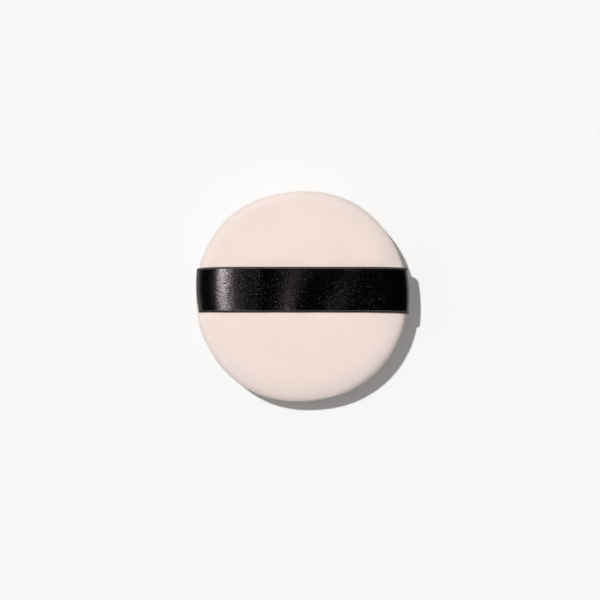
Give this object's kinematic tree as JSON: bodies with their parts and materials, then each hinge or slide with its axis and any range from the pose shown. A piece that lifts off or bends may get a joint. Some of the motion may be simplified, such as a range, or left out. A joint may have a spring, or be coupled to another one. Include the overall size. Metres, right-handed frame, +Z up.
{
  "type": "powder puff",
  "caption": "Round padded powder puff of pale velour over a foam core, with a flat satin ribbon across the back that holds it on the fingers.",
  "frame": {"origin": "on the surface the puff rests on, under the middle of its outline", "axes": "+Z up through the back, +X along the ribbon, +Y across the ribbon towards the side it lies nearer to"},
  "size_m": [0.0712, 0.07, 0.0144],
  "materials": {
    "velour": "pale pink short-pile cotton velour, matt",
    "foam": "cream open-cell foam",
    "satin": "black woven satin with a soft streaky gloss",
    "thread": "pale pink spun sewing thread"
  },
  "bodies": {
    "puff": {"back_cover": "velour", "face_cover": "velour", "foam_core": "foam", "ribbon_tail_left": "satin", "ribbon_tail_right": "satin", "seam_thread": "thread", "closing_thread": "thread", "ribbon_tack_left": "thread", "ribbon_tack_right": "thread"},
    "ribbon": {"finger_ribbon": "satin"}
  },
  "joints": [
    {"name": "ribbon_lift", "type": "slide", "parent": "puff", "child": "ribbon", "axis": [0, 0, 1], "range_m": [0, 0.008]}
  ]
}
